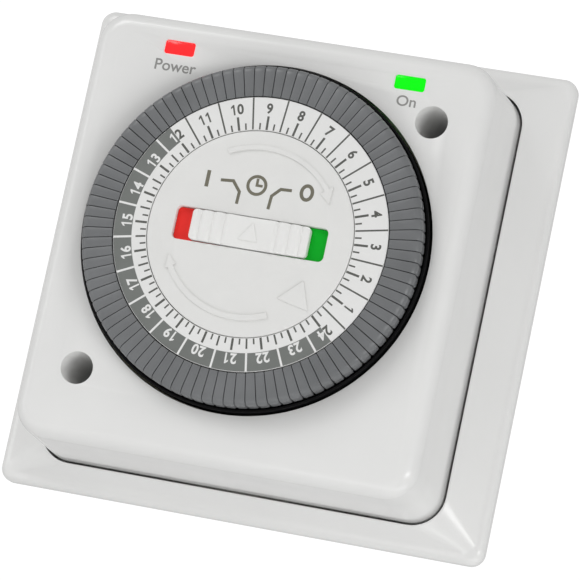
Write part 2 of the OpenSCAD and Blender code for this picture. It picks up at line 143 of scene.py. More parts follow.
# Print stands this far above its surface, and starts this far under it
INK = 0.02
SUNK = 0.01

# A tool that cuts right through a surface goes on this far past it
PAST = 1

SMOOTH_ANGLE = 35
FINE_STEPS = 192


# ---- Mesh helpers ----

def mesh_piece(name, points, faces, smooth_angle=SMOOTH_ANGLE):
    """A piece made from points (x, y, h) in millimetres; faces are turned to point outwards."""
    mesh = bpy.data.meshes.new(name)
    mesh.from_pydata([place(*p) for p in points], [], faces)
    work = bmesh.new()
    work.from_mesh(mesh)
    bmesh.ops.remove_doubles(work, verts=work.verts, dist=1e-7)
    bmesh.ops.recalc_face_normals(work, faces=work.faces)
    work.to_mesh(mesh)
    work.free()
    piece = bpy.data.objects.new(name, mesh)
    bpy.context.scene.collection.objects.link(piece)
    soften(piece, smooth_angle)
    return piece


def soften(piece, angle):
    piece.data.shade_smooth()
    piece.data.set_sharp_from_angle(angle=math.radians(angle))


def loft(rings):
    """Points and faces of a closed solid through rings of points, with flat ends."""
    count = len(rings[0])
    points = [p for ring in rings for p in ring]
    faces = []
    for i in range(len(rings) - 1):
        for k in range(count):
            n = (k + 1) % count
            faces.append((i * count + k, i * count + n, (i + 1) * count + n, (i + 1) * count + k))
    faces.append(tuple(range(count)))
    last = (len(rings) - 1) * count
    faces.append(tuple(range(last, last + count)))
    return points, faces


def prism(outline, low, high):
    """A solid with one flat outline from its low level to its high level."""
    return loft([[(x, y, level) for x, y in outline] for level in (low, high)])


def shifted(rings, across):
    return [[(x + across, y, level) for x, y, level in ring] for ring in rings]


def merged(solids):
    """One list of points and faces from several solids."""
    points = []
    faces = []
    for some_points, some_faces in solids:
        start = len(points)
        points.extend(some_points)
        faces.extend(tuple(start + k for k in face) for face in some_faces)
    return points, faces


def rounded_ring(w, h, corner_r, up, level, steps=10):
    """A rounded rectangle of points at one level."""
    ring = []
    for x_side, y_side, start in ((1, 1, 0), (-1, 1, 90), (-1, -1, 180), (1, -1, 270)):
        for k in range(steps + 1):
            angle = math.radians(start + 90 * k / steps)
            ring.append((x_side * (w / 2 - corner_r) + corner_r * math.cos(angle),
                         up + y_side * (h / 2 - corner_r) + corner_r * math.sin(angle), level))
    return ring


def circle_ring(x, y, r, level, steps=128):
    angles = [2 * math.pi * k / steps for k in range(steps)]
    return [(x + r * math.cos(a), y + r * math.sin(a), level) for a in angles]


def cylinder(x, y, r, low, high, steps=128):
    return loft([circle_ring(x, y, r, low, steps), circle_ring(x, y, r, high, steps)])


def block(x, y, w, h, low, high):
    half_w = w / 2
    half_h = h / 2
    outline = [(x - half_w, y - half_h), (x + half_w, y - half_h),
               (x + half_w, y + half_h), (x - half_w, y + half_h)]
    return prism(outline, low, high)


def sector(r_in, r_out, start, end, low, high, steps):
    """A flat curved bar about the dial's axis, between two angles in degrees."""
    angles = [start + (end - start) * k / steps for k in range(steps + 1)]
    outline = [scale_point(r_out, a) for a in angles]
    outline += [scale_point(r_in, a) for a in reversed(angles)]
    return prism(outline, low, high)


def stroke(path, width, low, high, closed=False):
    """A printed line of one width along a flat path."""
    count = len(path)
    left = []
    right = []
    for k, here in enumerate(path):
        before = path[(k - 1) % count] if closed or k > 0 else here
        after = path[(k + 1) % count] if closed or k < count - 1 else here
        first = (Vector(here) - Vector(before)).normalized() if before != here else None
        second = (Vector(after) - Vector(here)).normalized() if after != here else None
        along = ((first or second) + (second or first)).normalized()
        across = Vector((-along.y, along.x))
        reach = width / 2 / max(0.5, abs(along.dot(first or second)))
        left.append(Vector(here) + across * reach)
        right.append(Vector(here) - across * reach)
    if closed:
        return tube_between(left, right, low, high)
    return prism(left + right[::-1], low, high)


def tube_between(outer, inner, low, high):
    """A closed band between two outlines."""
    count = len(outer)
    points = [(p.x, p.y, level) for level in (low, high) for side in (outer, inner) for p in side]
    faces = []
    for k in range(count):
        n = (k + 1) % count
        for a, b in ((0, 1), (1, 3), (3, 2), (2, 0)):
            faces.append((a * count + k, a * count + n, b * count + n, b * count + k))
    return points, faces


def tube(x, y, r_out, r_in, low, high, steps=128):
    outer = [Vector(p[:2]) for p in circle_ring(x, y, r_out, 0, steps)]
    inner = [Vector(p[:2]) for p in circle_ring(x, y, r_in, 0, steps)]
    return tube_between(outer, inner, low, high)


def apply_modifiers(piece):
    graph = bpy.context.evaluated_depsgraph_get()
    mesh = bpy.data.meshes.new_from_object(piece.evaluated_get(graph))
    old = piece.data
    piece.modifiers.clear()
    piece.data = mesh
    bpy.data.meshes.remove(old)


def carve(piece, solids, operation="DIFFERENCE"):
    """Cuts solids out of a piece, or joins them to it."""
    for solid in solids:
        tool = mesh_piece("tool", *solid)
        change = piece.modifiers.new("carve", "BOOLEAN")
        change.operation = operation
        change.solver = "EXACT"
        change.object = tool
        apply_modifiers(piece)
        bpy.data.objects.remove(tool)


def ease_edges(piece, width):
    """Small rounded edges, as a mould leaves them."""
    change = piece.modifiers.new("ease", "BEVEL")
    change.width = width * MM
    change.segments = 2
    change.limit_method = "ANGLE"
    change.angle_limit = math.radians(50)
    change.harden_normals = False
    apply_modifiers(piece)
    soften(piece, SMOOTH_ANGLE)


def dress(piece, body, slot, material, *nodes):
    """Gives a piece its body, its finish and the CAD nodes it stands for."""
    piece.data.materials.clear()
    piece.data.materials.append(material)
    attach(piece, body)
    if nodes:
        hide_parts(*nodes)
    return piece


# ---- Materials ----

def noise(tree, where, scale, detail):
    """A noise texture fixed to the object."""
    texture = tree.nodes.new("ShaderNodeTexNoise")
    texture.inputs["Scale"].default_value = scale
    texture.inputs["Detail"].default_value = detail
    tree.links.new(where.outputs["Object"], texture.inputs["Vector"])
    return texture


def add_tint(tree, shader, mottle, colour, vary):
    """Colour that goes a little darker and lighter with the mottle."""
    tint = tree.nodes.new("ShaderNodeValToRGB")
    dark = [max(0.0, c * (1 - vary)) for c in colour]
    light = [min(1.0, c * (1 + vary)) for c in colour]
    tint.color_ramp.elements[0].position = 0.3
    tint.color_ramp.elements[1].position = 0.7
    tint.color_ramp.elements[0].color = (*dark, 1)
    tint.color_ramp.elements[1].color = (*light, 1)
    tree.links.new(mottle.outputs["Fac"], tint.inputs["Fac"])
    tree.links.new(tint.outputs["Color"], shader.inputs["Base Color"])


def add_gloss(tree, shader, mottle, rough):
    """Roughness that varies a little with the mottle."""
    spread = 0.06
    gloss = tree.nodes.new("ShaderNodeMapRange")
    gloss.inputs["To Min"].default_value = max(0.02, rough - spread)
    gloss.inputs["To Max"].default_value = rough + spread
    tree.links.new(mottle.outputs["Fac"], gloss.inputs["Value"])
    tree.links.new(gloss.outputs["Result"], shader.inputs["Roughness"])


def add_relief(tree, shader, fine, bump):
    """A fine moulded or turned grain."""
    relief = tree.nodes.new("ShaderNodeBump")
    relief.inputs["Strength"].default_value = bump
    relief.inputs["Distance"].default_value = 0.0001
    tree.links.new(fine.outputs["Fac"], relief.inputs["Height"])
    tree.links.new(relief.outputs["Normal"], shader.inputs["Normal"])


def material(name, colour, rough, vary=0.03, grain=900, bump=0.05, metallic=0.0, **sockets):
    """A moulded or metal surface: slight mottling of colour and gloss, and a fine grain."""
    mat = bpy.data.materials.new(name)
    mat.use_nodes = True
    tree = mat.node_tree
    shader = tree.nodes["Principled BSDF"]
    shader.inputs["Metallic"].default_value = metallic
    for socket, value in sockets.items():
        shader.inputs[socket.replace("_", " ")].default_value = value
    where = tree.nodes.new("ShaderNodeTexCoord")
    mottle = noise(tree, where, grain / 12, 4)
    add_tint(tree, shader, mottle, colour, vary)
    add_gloss(tree, shader, mottle, rough)
    add_relief(tree, shader, noise(tree, where, grain, 3), bump)
    return mat


WHITE = material("white_moulding", (0.80, 0.80, 0.79), 0.22, vary=0.012, grain=700, bump=0.03)
DISC_WHITE = material("satin_white_moulding", (0.78, 0.78, 0.765), 0.42, vary=0.012, grain=1800, bump=0.12)
SLIDER_WHITE = material("slider_moulding", (0.84, 0.84, 0.825), 0.3, vary=0.012, grain=1500, bump=0.06)
TAPPET_GREY = material("tappet_moulding", (0.155, 0.16, 0.165), 0.36, vary=0.10, grain=1400, bump=0.12)
BLACK = material("black_moulding", (0.004, 0.004, 0.0045), 0.6, vary=0.2, grain=1200, bump=0.1,
                 Specular_IOR_Level=0.12)
SCALE_WHITE = material("scale_white", (0.80, 0.80, 0.79), 0.4, vary=0.01, grain=1600, bump=0.05)
SCALE_GREY = material("scale_grey_print", (0.165, 0.175, 0.165), 0.45, vary=0.06, grain=2000, bump=0.08)
PRINT_DARK = material("dark_print", (0.095, 0.097, 0.088), 0.5, vary=0.08, grain=2000, bump=0.08)
PRINT_OLIVE = material("symbol_print", (0.16, 0.15, 0.11), 0.5, vary=0.06, grain=2000, bump=0.06)
LABEL_GREY = material("label_print", (0.27, 0.27, 0.26), 0.5, vary=0.06, grain=2000, bump=0.05)
RED = material("red_moulding", (0.90, 0.028, 0.022), 0.45, vary=0.04, grain=1200, bump=0.05,
               Specular_IOR_Level=0.25)
GREEN = material("green_moulding", (0.0, 0.46, 0.02), 0.45, vary=0.04, grain=1200, bump=0.05,
                 Specular_IOR_Level=0.15)
CREAM = material("cream_moulding", (0.66, 0.62, 0.50), 0.45, vary=0.03, grain=900, bump=0.12)
NATURAL = material("acetal_gear", (0.74, 0.72, 0.62), 0.4, vary=0.03, grain=1200, bump=0.06)
BLUE = material("blue_acetal", (0.05, 0.12, 0.36), 0.4, vary=0.05, grain=1200, bump=0.06)
BRASS = material("turned_brass", (0.72, 0.50, 0.20), 0.28, vary=0.06, grain=1800, bump=0.12, metallic=1.0)
STEEL = material("plated_steel", (0.58, 0.58, 0.60), 0.32, vary=0.06, grain=1800, bump=0.12, metallic=1.0)
MOTOR_STEEL = material("drawn_steel", (0.50, 0.51, 0.52), 0.38, vary=0.08, grain=1200, bump=0.15,
                       metallic=1.0)
BOARD = material("phenolic_board", (0.22, 0.13, 0.04), 0.5, vary=0.12, grain=1600, bump=0.2)
RESISTOR = material("lacquered_body", (0.50, 0.36, 0.20), 0.35, vary=0.08, grain=1500, bump=0.1)
LAMP_GLASS = material("lamp_glass", (0.95, 0.92, 0.88), 0.08, vary=0.01, grain=600, bump=0.02,
                      Transmission_Weight=0.85, IOR=1.5)
# The red lens has its own colour plus a painted glow: its emission stands in for the light of the neon lamp behind
# it
RED_LENS_PAINTED_GLOW = material("red_lens", (0.95, 0.01, 0.012), 0.14, vary=0.08, grain=500, bump=0.03,
                    Emission_Color=(1.0, 0.01, 0.015, 1), Emission_Strength=0.55)
FLOOR = material("pale_floor", (0.9, 0.9, 0.9), 0.6, vary=0.01, grain=60, bump=0.02)
# The green lens has its own colour plus a painted glow: its emission stands in for the light of the neon lamp
# behind it
GREEN_LENS_PAINTED_GLOW = material("green_lens", (0.0, 0.72, 0.005), 0.14, vary=0.08, grain=500, bump=0.03,
                      Emission_Color=(0.0, 0.85, 0.0, 1), Emission_Strength=0.45, Specular_IOR_Level=0.2)


# ---- Housing ----

def box_rings(rim_w, rim_h):
    """Rings from the wall up: eased base, rounded lip, then walls that slope in to the rim."""
    corner_r = 2.9
    lip_r = 1.9
    lip_low = 1.8
    foot_inset = 2.2
    foot_level = 4.0
    foot_r = 2.4
    rim_r_more = 4.7
    rings = [rounded_ring(BOX_W - 0.5, BOX_H - 0.5, 2.7, 0, 0),
             rounded_ring(BOX_W, BOX_H, corner_r, 0, 0.3)]
    for k in range(8):
        angle = math.radians(80 * k / 7)
        inset = lip_r * (1 - math.cos(angle))
        rings.append(rounded_ring(BOX_W - 2 * inset, BOX_H - 2 * inset, corner_r - 0.3 * inset,
                                  0, lip_low + lip_r * math.sin(angle)))
    foot_w = BOX_W - 2 * foot_inset
    foot_h = BOX_H - 2 * foot_inset
    for share in (0, 0.25, 0.5, 0.75, 0.98, 1):
        rings.append(rounded_ring(foot_w + (rim_w - foot_w) * share, foot_h + (rim_h - foot_h) * share,
                                  foot_r + rim_r_more * share, COVER_UP * share,
                                  foot_level + (BOX_RIM - foot_level) * share))
    return rings


def back_box():
    """Surface box: a rounded lip, walls that slope in to a thin rim, a floor and two pillars."""
    room_w = COVER_W + 2 * RIM_GAP
    room_h = COVER_H + 2 * RIM_GAP
    room_r = CORNER_R + RIM_GAP
    rim_t = 0.25
    step_level = 5.5
    cable_r = 8
    fixing_r = 2.25
    pillar_r = 5
    insert_r = 2.42
    through = 4
    piece = mesh_piece("box_shell", *loft(box_rings(room_w + 2 * rim_t, room_h + 2 * rim_t)))
    inside = loft([rounded_ring(BOX_W - 10.2, BOX_H - 9, 4, 0, FLOOR_T),
                   rounded_ring(room_w, room_h, room_r, COVER_UP, step_level),
                   rounded_ring(room_w, room_h, room_r, COVER_UP, BOX_RIM + PAST)])
    cable = mount_place("cable_entry")
    carve(piece, [inside, cylinder(cable[0], cable[2], cable_r, -PAST, through)])
    carve(piece, [cylinder(x, 0, fixing_r, -PAST, through, 48) for x in SCREW_PLACES])
    pillars = [cylinder(x, x, pillar_r, FLOOR_T - 0.5, COVER_EDGE + 0.1, 64) for x in SCREW_PLACES]
    carve(piece, pillars, "UNION")
    carve(piece, [cylinder(x, x, insert_r, 3, COVER_EDGE + 2, 48) for x in SCREW_PLACES])
    soften(piece, 30)
    dress(piece, "housing", "white_plastic", WHITE, "back_box")


def mount_place(name):
    for mount in frame["record"]["mounts"]:
        if mount["name"] == name:
            return [value / MM for value in mount["pos_m"]]
    raise ValueError(name)


def edge_start(low_half, high_half, low_level):
    """The angle at which a sloping wall runs into the rounded edge of the face."""
    along = low_half - (high_half - EDGE_R)
    up = low_level - (FACE - EDGE_R)
    return math.acos(EDGE_R / math.hypot(along, up)) + math.atan2(up, along)


def cover_rings(shrink, top, edge_r):
    """Rings from the cover's open edge, up its walls and round the edge of its face."""
    start = edge_start(COVER_W / 2, FACE_W / 2, COVER_FOOT)
    low_w = COVER_W - 2 * shrink
    low_h = COVER_H - 2 * shrink
    corner_r = CORNER_R - shrink * 0.6
    rings = [rounded_ring(low_w, low_h, corner_r, COVER_UP, COVER_FOOT)]
    centre_w = FACE_W - 2 * shrink - 2 * edge_r
    centre_h = FACE_H - 2 * shrink - 2 * edge_r
    for k in range(9):
        angle = start + (math.pi / 2 - start) * k / 8
        out = edge_r * math.cos(angle)
        level = top - edge_r + edge_r * math.sin(angle)
        rings.append(rounded_ring(centre_w + 2 * out, centre_h + 2 * out, corner_r - edge_r + out,
                                  COVER_UP, level))
    # The wall between the open edge and the rounded edge, in even steps
    wall_top = rings[1]
    for share in (0.75, 0.5, 0.25):
        rings.insert(1, between(rings[0], wall_top, share))
    return rings


def between(low_ring, high_ring, share):
    """A ring some share of the way from one ring to another."""
    return [tuple(a + (b - a) * share for a, b in zip(p, q)) for p, q in zip(low_ring, high_ring)]


def front_cover():
    """Cover: a shell with a dial opening, two lens windows, and two screw holes with sleeves."""
    piece = mesh_piece("cover_shell", *loft(cover_rings(0, FACE, EDGE_R)))
    inside = cover_rings(SKIN, FACE - SKIN, 1.0)
    inside.insert(0, [(x, y, COVER_FOOT - PAST) for x, y, level in inside[0]])
    carve(piece, [loft(inside)])
    sleeves = [cylinder(x, x, SLEEVE_R, COVER_EDGE + 0.6, FACE - 1, 64) for x in SCREW_PLACES]
    carve(piece, sleeves, "UNION")
    carve(piece, [cylinder(0, DIAL_UP, DIAL_HOLE_R, FACE - 2 * SKIN, FACE + PAST, FINE_STEPS)])
    carve(piece, [cylinder(x, x, SCREW_HOLE_R, SCREW_SEAT, FACE + PAST, 64) for x in SCREW_PLACES])
    carve(piece, [cylinder(x, x, 1.95, COVER_EDGE, SCREW_SEAT + PAST, 32) for x in SCREW_PLACES])
    carve(piece, [lens_opening(node) for node in ("power_lens", "on_lens")])
    ease_edges(piece, 0.16)
    dress(piece, "housing", "white_plastic", WHITE, "front_cover")


def lens_window(node):
    """Centre and size of the part of a lens that shows, without the flange behind the face."""
    low, high = flat_box(node)
    left, right = low[0] + FLANGE_X, high[0] - FLANGE_X
    bottom, top = low[1] + FLANGE_Y, high[1] - FLANGE_Y
    return (left + right) / 2, (bottom + top) / 2, right - left, top - bottom


def lens_opening(node):
    x, y, w, h = lens_window(node)
    gap = 0.1
    rings = [rounded_ring(w + gap, h + gap, LENS_CORNER_R, y, level, 4)
             for level in (FACE - 2 * SKIN, FACE + PAST)]
    return loft(shifted(rings, x))


def lens(name, node, slot, look):
    """A lens cap: its flange behind the face, its window through it, and an eased top."""
    x, y, w, h = lens_window(node)
    top = flat_box(node)[1][2]
    flange_w = w + 2 * FLANGE_X
    flange_h = h + 2 * FLANGE_Y
    flange_top = FACE - 2.1
    stages = [(flange_w, flange_h, LENS_CORNER_R, FACE - 3),
              (flange_w, flange_h, LENS_CORNER_R, flange_top),
              (w, h, LENS_CORNER_R, flange_top),
              (w, h, LENS_CORNER_R, top - 0.2),
              (w - 0.12, h - 0.12, 0.45, top - 0.06),
              (w - 0.4, h - 0.4, 0.32, top)]
    rings = [rounded_ring(*size, y, level, 4) for *size, level in stages]
    dress(mesh_piece(name, *loft(shifted(rings, x))), "housing", slot, look, node)


# ---- Dial ----

def wedge(angle, half_width):
    """One tappet head: crowned top, eased edges, and a rounded outer end."""
    end_r = 0.4
    top_r = 1.4
    stations = [TAPPET_IN, TAPPET_IN + 0.12, 29.5, 31.5, TAPPET_OUT - top_r]
    stations += [TAPPET_OUT - top_r * (1 - math.sin(math.radians(a))) for a in (20, 40, 55, 70, 82, 90)]
    rings = []
    for r in stations:
        over = max(0.0, r - (TAPPET_OUT - top_r))
        top = HEAD_TOP - top_r + math.sqrt(max(0.0, top_r ** 2 - over ** 2))
        side = max(0.0, r - (TAPPET_OUT - end_r))
        spread = r * math.tan(math.radians(half_width))
        half = spread - end_r + math.sqrt(max(0.0, end_r ** 2 - side ** 2))
        ease = 0.09 if r > TAPPET_IN else 0.16
        top -= 0.1 if r == TAPPET_IN else 0
        small = 0.3 * ease
        section = [(-half, HEAD_LOW), (half, HEAD_LOW),
                   (half, top - ease), (half - small, top - small), (half - ease, top),
                   (-half + ease, top), (-half + small, top - small), (-half, top - ease)]
        rings.append([turned(r, y, level, angle) for y, level in section])
    return loft(rings)


def turned(r, y, level, angle):
    """A point given along and across a spoke of the dial."""
    a = math.radians(angle)
    return (r * math.cos(a) - y * math.sin(a), DIAL_UP + r * math.sin(a) + y * math.cos(a), level)


def tappet_tail(angle):
    """The stem behind a tappet's head, which runs down into the dial carrier."""
    tail_in = 29.3
    tail_out = 33.5
    tail_low = 31.5
    half_w = 0.5
    corners = [(tail_in, -half_w), (tail_out, -half_w), (tail_out, half_w), (tail_in, half_w)]
    return prism([turned(r, y, 0, angle)[:2] for r, y in corners], tail_low, HEAD_LOW + 0.4)


def tappets():
    half_width = TAPPET_PITCH / 2 - math.degrees(0.075 / TAPPET_OUT)
    for hour in range(1, 25):
        middle = HOUR_NINE + HOUR_PITCH * (hour - 9)
        solids = []
        for quarter in (-1.5, -0.5, 0.5, 1.5):
            angle = middle + TAPPET_PITCH * quarter
            solids += [wedge(angle, half_width), tappet_tail(angle)]
        node = f"tappets_hour_{hour:02d}"
        piece = mesh_piece(f"tappet_group_{hour:02d}", *merged(solids))
        dress(piece, node, "tappet_plastic", TAPPET_GREY, node)


def scale_point(r, angle):
    a = math.radians(angle)
    return (r * math.cos(a), DIAL_UP + r * math.sin(a))


def scale_body():
    """The hour ring: one eased section turned about the dial's axis."""
    ease = 0.12
    profile = [(SCALE_IN, SCALE_BACK), (SCALE_R, SCALE_BACK),
               (SCALE_R, SCALE_TOP - ease), (SCALE_R - ease, SCALE_TOP),
               (SCALE_IN + ease, SCALE_TOP), (SCALE_IN, SCALE_TOP - ease)]
    count = len(profile)
    points = []
    faces = []
    for k in range(FINE_STEPS):
        angle = 360 * k / FINE_STEPS
        points += [(*scale_point(r, angle), level) for r, level in profile]
        here = k * count
        after = (k + 1) % FINE_STEPS * count
        for j in range(count):
            n = (j + 1) % count
            faces.append((here + j, here + n, after + n, after + j))
    piece = mesh_piece("scale_base", points, faces)
    dress(piece, "dial", "scale_print", SCALE_WHITE, "scale_ring")


# The night half of the scale is printed grey from here to half a turn further on
GREY_START = HOUR_NINE + HOUR_PITCH * 3
BAND_IN = 24.0


def in_grey(angle):
    return (angle - GREY_START) % 360 < 180


def radial_line(r_in, r_out, angle, width, level):
    """A printed line along a spoke of the dial."""
    corners = [(r_in, -width / 2), (r_out, -width / 2), (r_out, width / 2), (r_in, width / 2)]
    outline = [turned(r, y, 0, angle)[:2] for r, y in corners]
    return prism(outline, level, level + INK)


# Width of each kind of short mark, and its length on the white half and on the grey half
SHORT_MARKS = {"half": (0.46, 2.9, 2.5), "quarter": (0.32, 1.45, 1.3)}


def scale_print():
    """The grey half of the scale, and the lines for each hour, half hour and quarter."""
    start_r = SCALE_IN + 0.12
    end_r = SCALE_R - 0.1
    printed = SCALE_TOP - SUNK
    band = sector(BAND_IN, end_r, GREY_START, GREY_START + 180, printed, SCALE_TOP + INK, 120)
    dress(mesh_piece("scale_grey_band", *band), "dial", "scale_print", SCALE_GREY)
    dark = []
    light = []
    for quarter in range(96):
        angle = HOUR_NINE - HOUR_PITCH / 2 + TAPPET_PITCH * quarter
        grey = in_grey(angle)
        kind = ("hour", "quarter", "half", "quarter")[quarter % 4]
        if kind in SHORT_MARKS:
            width, on_white, on_grey = SHORT_MARKS[kind]
            length = on_grey if grey else on_white
            dark.append(radial_line(start_r, SCALE_IN + length, angle, width, printed))
        elif grey:
            dark.append(radial_line(start_r, SCALE_IN + 2.15, angle, 0.36, printed))
            light.append(radial_line(BAND_IN - 0.05, end_r, angle, 0.42, SCALE_TOP + INK))
        else:
            dark.append(radial_line(start_r, end_r, angle, 0.34, printed))
    dress(mesh_piece("scale_dark_marks", *merged(dark)), "dial", "scale_print", PRINT_DARK)
    dress(mesh_piece("scale_light_marks", *merged(light)), "dial", "scale_print", SCALE_WHITE)


def glyph(text, height, level, place_point, weight):
    """A generic letter or figure as a thin solid; place_point sets its flat points on the object."""
    curve = bpy.data.curves.new("glyph", "FONT")
    curve.body = text
    curve.align_x = "CENTER"
    curve.extrude = 0.01
    curve.offset = weight
    curve.resolution_u = 6
    holder = bpy.data.objects.new("glyph", curve)
    bpy.context.scene.collection.objects.link(holder)
    graph = bpy.context.evaluated_depsgraph_get()
    mesh = bpy.data.meshes.new_from_object(holder.evaluated_get(graph))
    bpy.data.objects.remove(holder)
    bpy.data.curves.remove(curve)
    low = min(v.co.y for v in mesh.vertices)
    high = max(v.co.y for v in mesh.vertices)
    left = min(v.co.x for v in mesh.vertices)
    right = max(v.co.x for v in mesh.vertices)
    scale = height / (high - low)
    points = []
    for v in mesh.vertices:
        x = (v.co.x - (left + right) / 2) * scale
        y = (v.co.y - (low + high) / 2) * scale
        points.append((*place_point(x, y), level + (INK if v.co.z > 0 else 0)))
    faces = [tuple(face.vertices) for face in mesh.polygons]
    bpy.data.meshes.remove(mesh)
    return points, faces


def figure_one(height, level, place_point):
    """A plain figure 1 with a short flag."""
    top = height / 2
    corners = [(-0.06, -top), (0.3, -top), (0.3, top), (0.04, top),
               (-0.5, top - 0.42), (-0.5, top - 0.78), (-0.06, top - 0.5)]
    return prism([place_point(x, y) for x, y in corners], level, level + INK)


# The dial's figures are a little narrower than the font's own, and are set this far apart
FIGURE_NARROW = 0.92
FIGURE_SPACING = 1.42
FIGURE_HEIGHT = 2.15


def dial_figure(figure, middle_r, angle):
    """One figure printed across a spoke of the dial."""
    level = SCALE_TOP + INK if in_grey(angle) else SCALE_TOP - SUNK

    def on_spoke(x, y):
        return turned(middle_r + y, -x * FIGURE_NARROW, 0, angle)[:2]

    if figure == "1":
        return figure_one(FIGURE_HEIGHT, level, on_spoke)
    return glyph(figure, FIGURE_HEIGHT, level, on_spoke, 0.03)


def scale_numerals():
    dark = []
    light = []
    for hour in range(1, 25):
        middle = HOUR_NINE + HOUR_PITCH * (hour - 9)
        middle_r = 25.2 if 12 < hour < 24 else 25.5
        figures = str(hour)
        for k, figure in enumerate(figures):
            # Figures read clockwise round the dial, so a later one stands at a smaller angle
            offset = (k - (len(figures) - 1) / 2) * FIGURE_SPACING
            angle = middle - math.degrees(offset / middle_r)
            (light if in_grey(angle) else dark).append(dial_figure(figure, middle_r, angle))
    dress(mesh_piece("scale_dark_numerals", *merged(dark)), "dial", "scale_print", PRINT_DARK)
    dress(mesh_piece("scale_light_numerals", *merged(light)), "dial", "scale_print", SCALE_WHITE)


# ---- Centre disc ----

def centre_disc():
    """The fixed disc: an eased edge, two keys behind it, and the slider's pocket with its slot."""
    ease = 0.3
    back = 36.92
    key_away = 6.8
    slot_w = 11
    slot_h = 3.8
    rings = [circle_ring(0, DIAL_UP, DISC_R, back, FINE_STEPS),
             circle_ring(0, DIAL_UP, DISC_R, DISC_TOP - ease, FINE_STEPS)]
    for a in (30, 60, 90):
        angle = math.radians(a)
        out = ease * (1 - math.cos(angle))
        level = DISC_TOP - ease + ease * math.sin(angle)
        rings.append(circle_ring(0, DIAL_UP, DISC_R - out, level, FINE_STEPS))
    piece = mesh_piece("disc_face", *loft(rings))
    keys = [block(0, DIAL_UP + side * key_away, 4, 1.2, 31, POCKET_FLOOR) for side in (-1, 1)]
    carve(piece, keys, "UNION")
    pocket_w = SLIDER_W + 2 * TRAVEL + 0.6
    pocket = loft([rounded_ring(pocket_w, POCKET_H, 1.1, DIAL_UP, level) for level in (POCKET_FLOOR, 41)])
    carve(piece, [pocket, block(0, DIAL_UP, slot_w, slot_h, 36, 39)])
    ease_edges(piece, 0.12)
    dress(piece, "housing", "disc_plastic", DISC_WHITE, "centre_disc")


def raised_mark(name, outline, low, high, body, slot, look):
    """A flat mark moulded proud of a surface, with eased edges."""
    piece = mesh_piece(name, *prism(outline, low, high))
    ease_edges(piece, 0.07)
    dress(piece, body, slot, look)


def disc_mark(name, outline):
    raised_mark(name, outline, DISC_TOP - 0.1, DISC_TOP + RAISED, "housing", "disc_plastic", DISC_WHITE)


def raised_arrow(name, middle_r, width, start, end, head_len, head_w, tip_r):
    """A raised curved arrow moulded on the disc; it points from start to end."""
    turn = 1 if end > start else -1
    neck = end - turn * math.degrees(head_len / middle_r)
    steps = 40
    angles = [start + (neck - start) * k / steps for k in range(steps + 1)]
    outline = [scale_point(middle_r + width / 2, a) for a in angles]
    outline.append(scale_point(middle_r + head_w / 2, neck))
    outline.append(scale_point(tip_r, end))
    outline.append(scale_point(middle_r - head_w / 2, neck))
    outline += [scale_point(middle_r - width / 2, a) for a in reversed(angles)]
    disc_mark(name, outline)


def on_disc(corners):
    """Corners given from the disc's centre."""
    return [(x, y + DIAL_UP) for x, y in corners]


def disc_relief():
    raised_arrow("turn_arrow", middle_r=17.4, width=0.95, start=116.5, end=29.5,
                 head_len=2.85, head_w=3.0, tip_r=16.7)
    raised_arrow("lower_arrow", middle_r=17.0, width=1.15, start=-66, end=-156,
                 head_len=2.4, head_w=2.4, tip_r=16.6)
    disc_mark("time_pointer", on_disc([(12.76, -7.63), (8.3, -11.95), (14.75, -13.4)]))


def disc_print():
    """Printed symbols above the slider: on, two switch lines, a clock between them, and off."""
    low = DISC_TOP - SUNK
    high = DISC_TOP + INK
    left_line = [(-8.08, 9.69), (-5.51, 9.9), (-3.85, 7.9), (-3.93, 5.42)]
    right_line = [(6.56, 9.78), (4.32, 9.69), (2.75, 8.08), (2.58, 5.35)]
    on_line = [(-10.75, 7.9), (-10.75, 11.25)]
    solids = [stroke(on_disc(line), 0.62, low, high) for line in (left_line, right_line)]
    solids.append(stroke(on_disc(on_line), 0.75, low, high))
    clock_x, clock_y = -0.63, 9.71 + DIAL_UP
    solids.append(tube(clock_x, clock_y, 2.12, 1.5, low, high, 64))
    hands = [(clock_x, clock_y + 1.4), (clock_x, clock_y), (clock_x + 1.2, clock_y)]
    solids.append(stroke(hands, 0.52, low, high))
    off_x, off_y = 9.63, 9.81 + DIAL_UP
    turns = [2 * math.pi * k / 48 for k in range(48)]
    oval = [(off_x + 1.1 * math.cos(a), off_y + 1.42 * math.sin(a)) for a in turns]
    solids.append(stroke(oval, 0.7, low, high, closed=True))
    dress(mesh_piece("disc_symbols", *merged(solids)), "housing", "scale_print", PRINT_OLIVE)


# ---- Slider ----

# Three grooves at each end: the first one's place from the end, their pitch and half width
GROOVE_FIRST = 1.75
GROOVE_PITCH = 2.45
GROOVE_HALF_W = 0.8


def slider_section(x, half_w, half_h, base, top):
    """The slider's outline across itself at one place along it, with eased corners and edges."""
    corner_r = 0.8
    over = max(0.0, abs(x) - (half_w - corner_r))
    barrel = 0.12 * (x / half_w) ** 2
    half = half_h - barrel - corner_r + math.sqrt(max(0.0, corner_r ** 2 - over ** 2))
    ease = min(0.25, half * 0.5)
    upper = [(half, top - ease), (half - 0.1 * ease, top - 0.55 * ease),
             (half - 0.45 * ease, top - 0.12 * ease), (half - ease, top)]
    section = [(-half, base), (half, base), *upper, *[(-y, level) for y, level in reversed(upper)]]
    return [(x, DIAL_UP + y, level) for y, level in section]


